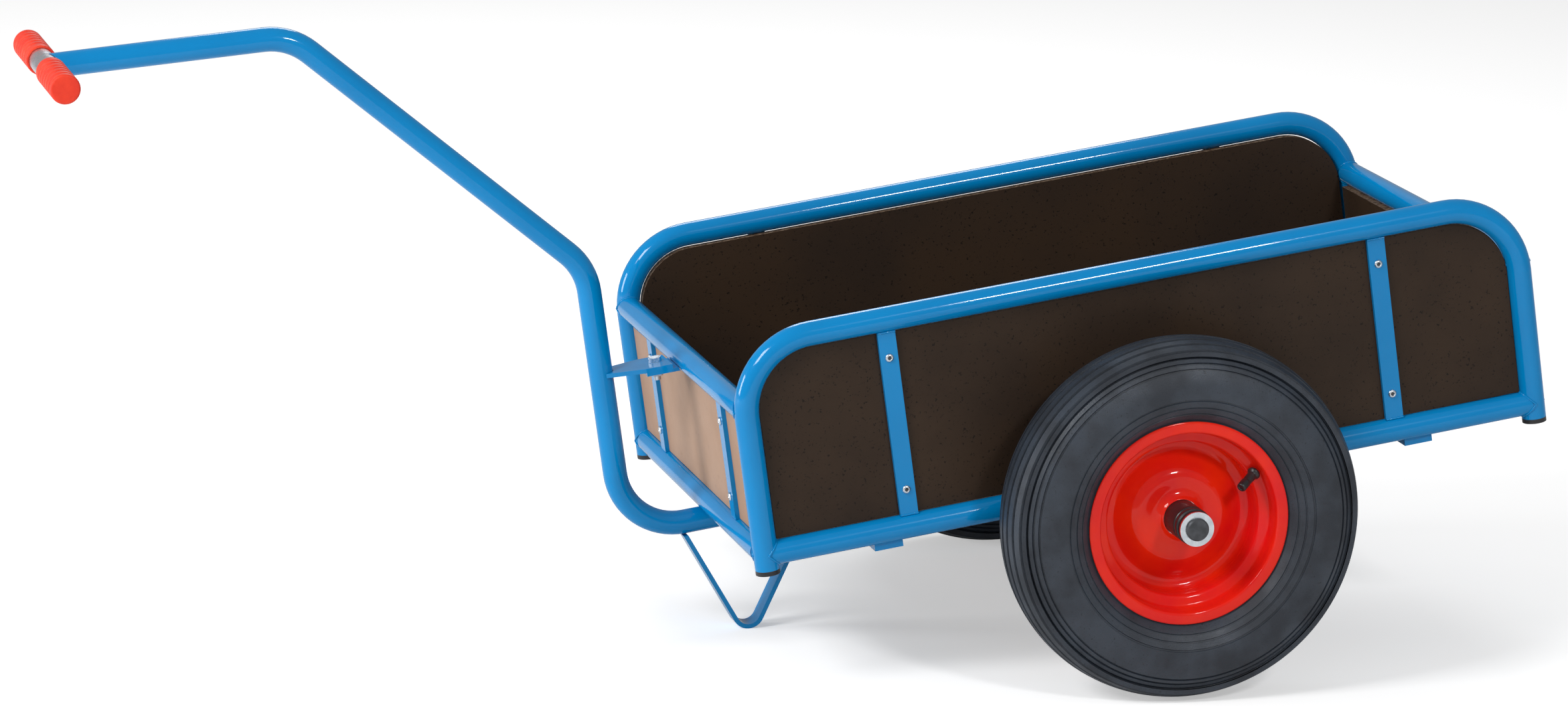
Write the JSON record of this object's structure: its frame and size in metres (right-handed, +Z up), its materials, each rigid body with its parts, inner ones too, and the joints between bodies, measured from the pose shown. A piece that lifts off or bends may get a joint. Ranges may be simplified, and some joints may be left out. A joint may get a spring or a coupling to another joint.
{
  "type": "two-wheeled hand cart",
  "caption": "Two-wheeled hand cart with a low tubular bed, plywood sides and floor, pneumatic wheels, a bent drawbar with a cross handle and a parking stand.",
  "frame": {"origin": "centre of the bounding box's footprint, on the ground the cart parks on", "axes": "+X forward towards the handle, +Y left along the axle, +Z up"},
  "size_m": [1.647, 0.8468, 0.6914],
  "materials": {
    "blue_enamel": "glossy blue powder coat on steel tube and flats",
    "film_faced_plywood": "dark brown film-faced birch plywood",
    "tyre_rubber": "slate black ribbed rubber",
    "red_enamel": "glossy red enamel on pressed steel",
    "black_plastic": "black moulded plastic",
    "red_grip": "orange-red ribbed soft plastic",
    "zinc_plated_steel": "bright zinc-plated steel"
  },
  "bodies": {
    "cart_frame": {"axle": "zinc_plated_steel", "drawbar_bolt": "zinc_plated_steel", "drawbar_bracket": "blue_enamel", "drawbar_strap": "blue_enamel", "drawbar_tube": "blue_enamel", "floor_panel": "film_faced_plywood", "front_bottom_bar": "blue_enamel", "front_end_panel": "film_faced_plywood", "front_end_stays": "blue_enamel", "front_floor_bearer": "blue_enamel", "front_top_bar": "blue_enamel", "handle_tube": "zinc_plated_steel", "left_axle_washers": "zinc_plated_steel", "left_bottom_rail": "blue_enamel", "left_grip": "red_grip", "left_leg_caps": "black_plastic", "left_side_hoop": "blue_enamel", "left_side_panel": "film_faced_plywood", "left_side_stays": "blue_enamel", "parking_stand": "blue_enamel", "rear_bottom_bar": "blue_enamel", "rear_end_panel": "film_faced_plywood", "rear_end_stays": "blue_enamel", "rear_floor_bearer": "blue_enamel", "rear_top_bar": "blue_enamel", "right_axle_washers": "zinc_plated_steel", "right_bottom_rail": "blue_enamel", "right_grip": "red_grip", "right_leg_caps": "black_plastic", "right_side_hoop": "blue_enamel", "right_side_panel": "film_faced_plywood", "right_side_stays": "blue_enamel"},
    "left_wheel": {"left_tyre": "tyre_rubber", "left_wheel_rim": "red_enamel", "left_wheel_disc": "red_enamel", "left_wheel_hub": "black_plastic", "left_valve": "black_plastic"},
    "right_wheel": {"right_tyre": "tyre_rubber", "right_wheel_rim": "red_enamel", "right_wheel_disc": "red_enamel", "right_wheel_hub": "black_plastic", "right_valve": "black_plastic"}
  },
  "joints": [
    {"name": "left_wheel_spin", "type": "hinge", "parent": "cart_frame", "child": "left_wheel", "pos_m": [-0.37349, 0.358, 0.2], "axis": [0, 1, 0], "continuous": true},
    {"name": "right_wheel_spin", "type": "hinge", "parent": "cart_frame", "child": "right_wheel", "pos_m": [-0.37349, -0.358, 0.2], "axis": [0, 1, 0], "continuous": true}
  ]
}
